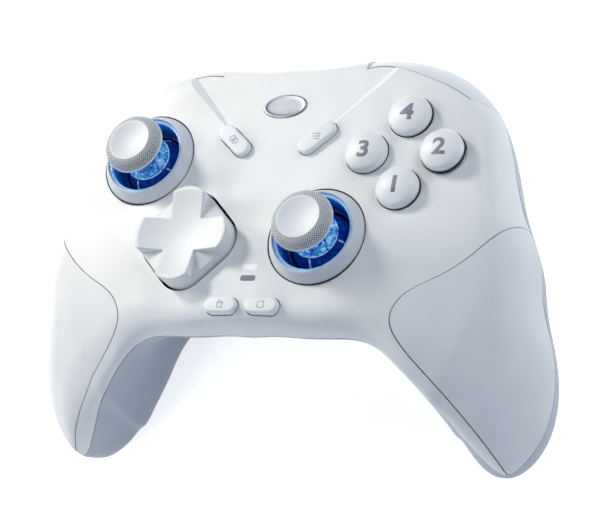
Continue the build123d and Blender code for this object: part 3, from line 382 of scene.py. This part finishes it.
# Sticks
def stick_cap(side, material):
    """Dished cap with a wide diamond-knurled shoulder over a plain lower edge."""
    x, y = STICKS[side]
    dish_radius, dish_floor, dish_rise = 5.6, 10.6, 1.0
    dish = [(dish_radius * k / 10, dish_floor + dish_rise * (k / 10) ** 2) for k in range(11)]
    lip = [(5.8, 11.64), (5.98, 11.6)]
    start, top, reach, drop, rows = 6.08, 11.5, 2.3, 2.5, 44
    turns = [math.pi / 2 * k / (rows - 1) for k in range(rows)]
    shoulder = [(start + reach * math.sin(t), top - drop * (1 - math.cos(t))) for t in turns]
    under = [(8.38, 8.75), (8.3, 8.35), (8.05, 8.08), (7.4, 7.45), (6.3, 6.55), (5.5, 5.95), (5.15, 5.8),
             (2.2, 5.79)]
    profile = dish + lip + shoulder + under
    first = len(dish) + len(lip)

    def diamonds(angle, row):
        """How high a point of the knurling stands, which also sets its painted shade, and how far it is sunk
        below the tips.
        """
        along = (row - first) / len(shoulder)
        if not 0 <= along < 1:
            return 1.0, 0.0
        turn = KNURLS_ROUND * angle / (2 * math.pi)
        u = abs(2 * ((turn + KNURLS_DOWN * along) % 1.0) - 1)
        v = abs(2 * ((turn - KNURLS_DOWN * along) % 1.0) - 1)
        height = min(1.0, KNURL_RISE * min(1 - u, 1 - v))
        return height, KNURL_DEPTH * (1 - height)

    bm = lathe(profile, x, y, KNURLS_ROUND * 6, diamonds)
    piece(side + "_stick_knurled_cap", bm, material, side + "_stick", side + "_stick_cap", slot="cap_grey")


def dome_height(r, lift=0.0):
    """Height of the dome that swings under the bell, at a distance from the stick's axis."""
    return PIVOT + math.sqrt((DOME + lift) ** 2 - r * r)


def glow(shape, level):
    """Marks each row of a turned form with its painted LED light level."""
    return lambda angle, row: (level(*shape[row]), 0.0)


def stick_skirt(side, material):
    """Bell under the cap with painted light from below, on a dome painted dark with four ribs painted pale.
    """
    x, y = STICKS[side]
    bell = [(5.0, 5.77), (4.55, 5.0), (4.5, 4.2), (4.75, 3.3), (5.2, 2.5), (5.75, 1.8), (6.2, 1.15),
            (6.4, 0.65), (6.42, 0.4), (6.25, 0.2), (6.0, 0.1)]
    dome = [(r, dome_height(r)) for r in (6.0, 6.6, 7.2, 7.7, 8.1, 8.4, 8.6, 8.74)]
    inside = [(8.0, -5.4), (7.6, -4.0), (6.6, -2.2), (5.2, -0.2), (4.0, 1.2), (3.6, 2.4), (2.05, 3.0)]
    shape = rounded(bell, 0.3, 3) + dome + inside

    def level(r, z):
        """Painted light: dark on the dome, a painted highlight on the bell's rim, then a little darker up
        the bell.
        """
        if z < 0.3 or r > 6.5:
            return 0.08
        return 0.9 if r > 6.3 else 0.66 - 0.03 * z

    bm = lathe(shape, x, y, painted_light_and_relief=glow(shape, level))
    piece(side + "_stick_bell", bm, material, side + "_stick", side + "_stick_skirt", slot="skirt_blue")
    ribs = bmesh.new()
    layer = ribs.verts.layers.float.new("painted_light_and_relief")
    steps = (6.3, 6.8, 7.3, 7.8, 8.2)
    for degrees in RIBS[side]:
        c, s = math.cos(math.radians(degrees)), math.sin(math.radians(degrees))
        for near, far in zip(steps, steps[1:]):
            corners = ((near, -RIB_HALF), (far, -RIB_HALF), (far, RIB_HALF), (near, RIB_HALF))
            slab(ribs, [(x + r * c - w * s, y + r * s + w * c) for r, w in corners],
                 lambda px, py: dome_height(math.hypot(px - x, py - y), -RIB_SINK),
                 lambda px, py: dome_height(math.hypot(px - x, py - y), RIB_RISE))
    for vert in ribs.verts:
        vert[layer] = RIB_PAINTED_GLOW
    piece(side + "_stick_ribs", ribs, material, side + "_stick", slot="skirt_blue")


def stick_bowl(side, material):
    """Blue light well with painted light and shade: a pale rim, a wall painted lit and a floor painted dark
    round the dome.
    """
    x, y = STICKS[side]
    cup = [(9.0, -4.58), (10.98, -4.58), (10.98, 2.1), (10.9, 2.38), (10.6, 2.42), (10.35, 2.32),
           (10.18, 2.0), (10.12, 1.2), (10.06, -0.4), (9.98, -2.0), (9.85, -2.9), (9.6, -3.45), (9.3, -3.7),
           (8.97, -3.78), (9.0, -4.58)]
    shape = rounded(cup, 0.15, 3)

    def level(_, z):
        """Painted light: bright on the rim, then painted shade darker down the wall."""
        return 1.0 if z > 1.95 else max(0.02, 0.1 + 0.13 * (z + 3.4))

    bm = lathe(shape, x, y, FINE_ROUND, glow(shape, level))
    piece(side + "_stick_light_well", bm, material, "housing", side + "_stick_bowl", slot="bowl_blue")


def stick_collar(side, material):
    """Satin cone round the well."""
    x, y = STICKS[side]
    cone = [(11.02, -5.3), (14.3, -5.3), (14.3, -4.45), (13.35, -4.45), (13.38, -0.3), (13.12, 0.3),
            (11.75, 2.7), (11.45, 2.97), (11.2, 3.0), (11.02, 2.85), (11.02, -5.3)]
    bm = lathe(rounded(cone, 0.3), x, y, FINE_ROUND)
    piece(side + "_stick_cone", bm, material, "housing", side + "_stick_collar", slot="collar_white")


def gap_shade_ring(name, x, y, inner, outer, material):
    """Thin black ring low in a round gap: painted shade that makes the gap read dark."""
    ring = [(inner, GAP_SHADE_FOOT), (outer, GAP_SHADE_FOOT), (outer, GAP_SHADE_TOP), (inner, GAP_SHADE_TOP), (inner, GAP_SHADE_FOOT)]
    piece(name + "_gap_shade_ring", lathe(ring, x, y), material, "housing", slot="module_black")


# Buttons
def crown_height(distance):
    """Height of a face button's dome, at a distance from its axis."""
    sphere = (BUTTON_RADIUS**2 + BUTTON_CROWN**2) / (2 * BUTTON_CROWN)
    return BUTTON_EDGE + BUTTON_CROWN - sphere + math.sqrt(max(0.0, sphere**2 - distance**2))


def face_button(name, material):
    """Domed button with a soft edge and a flange under the shell."""
    x, y, _ = BUTTONS[name]
    edge = 5.2
    crown = [(edge * k / 12, crown_height(edge * k / 12)) for k in range(12)]
    side = [(edge, 1.86), (5.55, 1.55), (5.72, 1.1), (BUTTON_RADIUS, 0.5), (BUTTON_RADIUS, -4.98),
            (6.7, -5.0), (6.7, -6.0), (0, -6.0)]
    bm = lathe(crown + rounded(side, 0.25, 3), x, y)
    piece(name + "_cap", bm, material, name, name, slot="button_white")


def number(name, material):
    """A plain printed number that lies on the button's crown."""
    x, y, digit = BUTTONS[name]
    curve = bpy.data.curves.new(name + "_number_outline", "FONT")
    curve.body = digit
    curve.size = NUMBER_SIZE
    curve.align_x = "CENTER"
    curve.align_y = "CENTER"
    curve.offset = NUMBER_BOLD
    curve.resolution_u = 6
    holder = bpy.data.objects.new(name + "_number_outline", curve)
    bpy.context.scene.collection.objects.link(holder)
    bpy.context.view_layer.update()
    flat = bpy.data.meshes.new_from_object(holder.evaluated_get(bpy.context.evaluated_depsgraph_get()))
    bpy.data.objects.remove(holder)
    bm = bmesh.new()
    bm.from_mesh(flat)
    bmesh.ops.subdivide_edges(bm, edges=bm.edges, cuts=2, use_grid_fill=True)
    bmesh.ops.triangulate(bm, faces=bm.faces)
    low = Vector((min(v.co.x for v in bm.verts), min(v.co.y for v in bm.verts), 0))
    high = Vector((max(v.co.x for v in bm.verts), max(v.co.y for v in bm.verts), 0))
    middle = (low + high) / 2
    for v in bm.verts:
        dx, dy = NUMBER_WIDER * (v.co.x - middle.x), v.co.y - middle.y
        v.co = Vector((x + dx, y + dy, crown_height(math.hypot(dx, dy)) + INK_LIFT))
    grown = bmesh.ops.extrude_face_region(bm, geom=bm.faces[:])
    for v in grown["geom"]:
        if isinstance(v, bmesh.types.BMVert):
            v.co.z += INK_THICKNESS
    piece(name + "_number", bm, material, name, slot="button_white")


def pill(name, material):
    """Capsule button with a rolled edge."""
    x, y, turn, length, width, top = PILLS[name]
    levels = [(0.0, -5.0), (0.0, top - 0.55), (0.07, top - 0.3), (0.22, top - 0.12), (0.45, top - 0.02),
              (0.7, top)]
    loops = [stadium(length, width, inset, turn, x, y, z) for inset, z in levels]
    piece(name + "_cap", stacked(loops), material, name, name, slot="button_white")


def pill_marks(name, shapes, material):
    """Small printed marks, given as outlines in millimetres about the button's middle."""
    x, y, *_, top = PILLS[name]
    bm = bmesh.new()
    for shape in shapes:
        points = [(x + px, y + py) for px, py in shape]
        slab(bm, points, lambda px, py: top - INK_SINK, lambda px, py: top + INK_THICKNESS)
    piece(name + "_mark", bm, material, name, slot="button_white")


def bar(x0, y0, x1, y1, width):
    """A straight stroke as four plan points."""
    along = Vector((x1 - x0, y1 - y0)).normalized() * width / 2
    side = Vector((-along.y, along.x))
    return [(x0 - side.x, y0 - side.y), (x1 - side.x, y1 - side.y), (x1 + side.x, y1 + side.y),
            (x0 + side.x, y0 + side.y)]


def frame_strokes(cx, cy, half, width):
    """Four strokes round a small square."""
    signs = ((-1, -1), (1, -1), (1, 1), (-1, 1))
    corners = [(cx + half * sx, cy + half * sy) for sx, sy in signs]
    return [bar(*corners[k], *corners[(k + 1) % 4], width) for k in range(4)]


def on_panel(px, py, z):
    """A point of the face, set into the sunken panel's slant."""
    along = py - PANEL_FOOT
    c, s = math.cos(PANEL_SLOPE), math.sin(PANEL_SLOPE)
    return px, PANEL_FOOT + along * c + z * s, z * c - along * s


def badge(material):
    """Plain oval plate with a rolled rim."""
    levels = [(0.0, -0.48), (0.0, 0.08), (0.08, 0.22), (0.25, 0.3), (0.5, 0.3), (0.8, 0.23), (1.4, 0.2),
              (2.4, 0.2)]
    turns = [2 * math.pi * k / 64 for k in range(64)]
    loops = []
    for inset, z in levels:
        a, b = BADGE_LENGTH / 2 - inset, BADGE_WIDTH / 2 - inset
        loops.append([on_panel(a * math.cos(t), BADGE_MIDDLE + b * math.sin(t), z) for t in turns])
    piece("badge_oval", stacked(loops), material, "housing", "badge_plate", slot="badge_metal")


# The carried-over CAD pieces
def finish(node, material):
    """One material on a CAD piece that keeps its own mesh."""
    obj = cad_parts[node]
    obj.data.materials.clear()
    obj.data.materials.append(material)


# Light, floor and camera
def area_light(name, place, size, power, colour):
    """A round soft box, aimed at the middle of the pad."""
    lamp = bpy.data.lights.new(name, "AREA")
    lamp.shape = "DISK"
    lamp.size = size
    lamp.energy = power
    lamp.color = srgb(colour)[:3]
    obj = bpy.data.objects.new(name, lamp)
    obj.location = place
    obj.rotation_euler = (Vector(LAMP_TARGET) - Vector(place)).to_track_quat("-Z", "Y").to_euler()
    bpy.context.scene.collection.objects.link(obj)


# The camera on the face's frame, in millimetres: its place, the point it looks at, how far it is rolled
# out of level, in degrees, and its focal length
CAMERA_PLACE = (217.126, -184.929, 376.538)
CAMERA_TARGET = (14.3517, -9.5059, 0.0)
CAMERA_ROLL = -55.4232
CAMERA_LENS = 108.906
# Lamps, in metres: place, diameter, power in watts and colour
LAMP_TARGET = (0, 0, 0.03)
LAMPS = (
    ("key", (-0.5, 0.42, 0.45), 0.18, 3.25, "#FFFDF5"),
    ("low_left", (-0.55, 0.15, 0.3), 0.2, 1.4, "#FFF6E1"),
    ("front_left", (-0.4, -0.5, 0.45), 0.4, 1.9, "#F7FFFF"),
    ("right_back", (0.45, 0.45, 0.4), 0.4, 1.78, "#FCFFF7"),
    ("right", (0.6, -0.05, 0.3), 0.4, 0.95, "#EDF5FF"),
)
WORLD_STRENGTH = 0.165
FLOOR_GLOW = 0.7


def studio():
    """Small key lamp at the upper left, wide soft boxes round the pad, pale blue surroundings."""
    for lamp in LAMPS:
        area_light(*lamp)
    world = bpy.data.worlds.new("surroundings")
    world.use_nodes = True
    back = world.node_tree.nodes["Background"]
    back.inputs["Color"].default_value = srgb("#B3CDFF")
    back.inputs["Strength"].default_value = WORLD_STRENGTH
    bpy.context.scene.world = world
    bpy.context.scene.view_settings.view_transform = "Standard"


def floor():
    """White card just under the pad, which only takes part in the picture."""
    bm = bmesh.new()
    bmesh.ops.create_grid(bm, x_segments=8, y_segments=8, size=2.0)
    mesh = bpy.data.meshes.new("floor")
    bm.to_mesh(mesh)
    bm.free()
    obj = bpy.data.objects.new("floor", mesh)
    obj.location = (0, 0, -0.0003)
    bpy.context.scene.collection.objects.link(obj)
    obj.data.materials.append(floor_paint("white_card"))


def camera():
    """Long lens above the pad's right front, as the photograph was taken."""
    place = FACE @ Vector(CAMERA_PLACE)
    level = (FACE @ Vector(CAMERA_TARGET) - place).to_track_quat("-Z", "Y").to_matrix()
    turn = level @ Matrix.Rotation(math.radians(CAMERA_ROLL), 3, "Z")
    lens = bpy.data.cameras.new("camera")
    lens.sensor_fit = "HORIZONTAL"
    lens.sensor_width = 36.0
    lens.lens = CAMERA_LENS
    lens.clip_start = 0.01
    obj = bpy.data.objects.new("camera", lens)
    obj.matrix_world = Matrix.Translation(place) @ turn.to_4x4()
    bpy.context.scene.collection.objects.link(obj)
    bpy.context.scene.camera = obj


# The stage
camera()
floor()
studio()

# The housing is ABS. The shell is an even white that shades softly, the soft-touch covers are duller, the
# rear's cooler, darker grey is painted shade of the flank under the pad, and the triggers' finer mould gives
# them a slightly sharper sheen.
shell_white = moulded_plastic("moulded_abs_shell", "#E6E7E9", "#EAEBED", 0.42, 0.5)
cover_white = moulded_plastic("soft_touch_abs_cover", "#E3E4E7", "#E7E8EB", 0.5, 0.58, 0.35, 0.015)
rear_shade_grey = moulded_plastic("moulded_abs_rear", "#B7BDC9", "#BEC4CF", 0.45, 0.55)
trigger_white = moulded_plastic("moulded_abs_trigger", "#DBDEE3", "#E0E3E7", 0.35, 0.45)
# What the fingers press is ABS too, but smoother, with round highlights. The direction pad's soft edges
# catch the light, and the stick collars are a shade greyer than the shell.
button_white = polished_plastic("polished_abs_button", "#E2E4E8", "#E7E9EC")
dpad_white = polished_plastic("polished_abs_dpad", "#DFE1E4", "#E4E5E8", 0.9)
collar_white = polished_plastic("polished_abs_collar", "#C8CDD6", "#CFD4DC")
# Painted blue LED light round the sticks: painted shade, deep blue, down in the wells and painted glow,
# pale, on rims and bells
well_blue = lit_polycarbonate("lit_polycarbonate_well", (
    (0.0, "#031C58"), (0.25, "#07348A"), (0.55, "#0F57B4"), (0.8, "#2C7ACB"), (1.0, "#8FC0EA")), 0.1, 0.3)
bell_blue = lit_polycarbonate("lit_polycarbonate_bell", (
    (0.0, "#04246E"), (0.3, "#0A3A92"), (0.5, "#1F64B0"), (0.7, "#4FA4DC"), (0.95, "#BCEAFC")), 0.34, 0.22)
cap_grey = knurled_elastomer("knurled_elastomer_cap")
# Metals: a broad soft reflection on the badge, narrower and livelier ones on plated and drawn steel
badge_metal = brushed_metal("satin_aluminium_badge", "#989CA5", "#A4A8B0", 0.34, 0.44)
steel = brushed_metal("nickel_plated_steel", "#A7A9AD", "#B2B4B8", 0.2, 0.35)
spring_steel = brushed_metal("drawn_spring_steel", "#8E9094", "#9FA1A5", 0.18, 0.3)
# Dark nylon, which swallows the light inside the sticks, and black rings low in the round gaps as painted
# shade
black_nylon = moulded_plastic("moulded_black_nylon", "#15161A", "#1C1D22", 0.4, 0.55)
gap_shade_black = moulded_plastic("painted_gap_shade", "#0E0F12", "#15161A", 0.6, 0.7)
# What is inside the housing
board_green = solder_mask("solder_mask_board")
membrane_grey = silicone("moulded_silicone")
battery_wrap = polished_plastic("shrink_film_battery", "#2F4A86", "#38558F")
# Acrylic windows: one milky and bright, one smoked
lens_white = polished_plastic("milky_acrylic_lens", "#FAFBFD", "#FFFFFF")
lens_grey = polished_plastic("smoked_acrylic_lens", "#5A606E", "#666C79")
# Inks: dark enough to read on the face buttons, faint on the small ones
ink_grey = printed_ink("printed_ink_number", "#7C838F", "#858C98")
ink_pale = printed_ink("printed_ink_mark", "#C0C5CE", "#C9CDD5")

# The pad
finish("front_shell", shell_white)
finish("rear_shell", rear_shade_grey)
for side in ("left", "right"):
    finish(side + "_grip_cover", cover_white)
    finish(side + "_bumper", trigger_white)
    finish(side + "_trigger", trigger_white)
    finish(side + "_trigger_pin", steel)
    finish(side + "_trigger_spring", spring_steel)
    finish(side + "_rumble_motor", steel)
    finish(side + "_rumble_weight", steel)
    finish(side + "_stick_pin", steel)
    finish(side + "_stick_yoke", black_nylon)
    finish(side + "_stick_shaft", black_nylon)
    finish(side + "_stick_module", black_nylon)
    stick_cap(side, cap_grey)
    stick_skirt(side, bell_blue)
    stick_bowl(side, well_blue)
    stick_collar(side, collar_white)
    gap_shade_ring(side + "_stick", *STICKS[side], *STICK_GAP_SHADE, gap_shade_black)
finish("dpad_cap", dpad_white)
finish("dpad_pin", steel)
finish("dpad_rocker", black_nylon)
finish("dpad_bracket", steel)
for name in BUTTONS:
    face_button(name, button_white)
    number(name, ink_grey)
    gap_shade_ring(name, *BUTTONS[name][:2], *BUTTON_GAP_SHADE, gap_shade_black)
for name in PILLS:
    pill(name, button_white)
for name in ("button_membrane", "menu_membranes", "home_membranes"):
    finish(name, membrane_grey)
for name in ("button_board", "main_board"):
    finish(name, board_green)
finish("usb_socket", steel)
finish("battery", battery_wrap)
finish("shell_screws", steel)
finish("power_lens", lens_white)
finish("mode_lens", lens_grey)
badge(badge_metal)
pill_marks("view_button", frame_strokes(-0.35, 0.35, 0.7, 0.28) + frame_strokes(0.45, -0.45, 0.7, 0.28),
           ink_pale)
pill_marks("menu_button", [bar(-1.1, dy, 1.1, dy, 0.3) for dy in (-0.75, 0, 0.75)], ink_pale)
roof = [bar(-1.0, 0.35, 0, 1.15, 0.28), bar(0, 1.15, 1.0, 0.35, 0.28)]
pill_marks("home_button", frame_strokes(0, -0.25, 0.65, 0.26) + roof, ink_pale)
pill_marks("function_button", frame_strokes(0, 0, 0.85, 0.26), ink_pale)
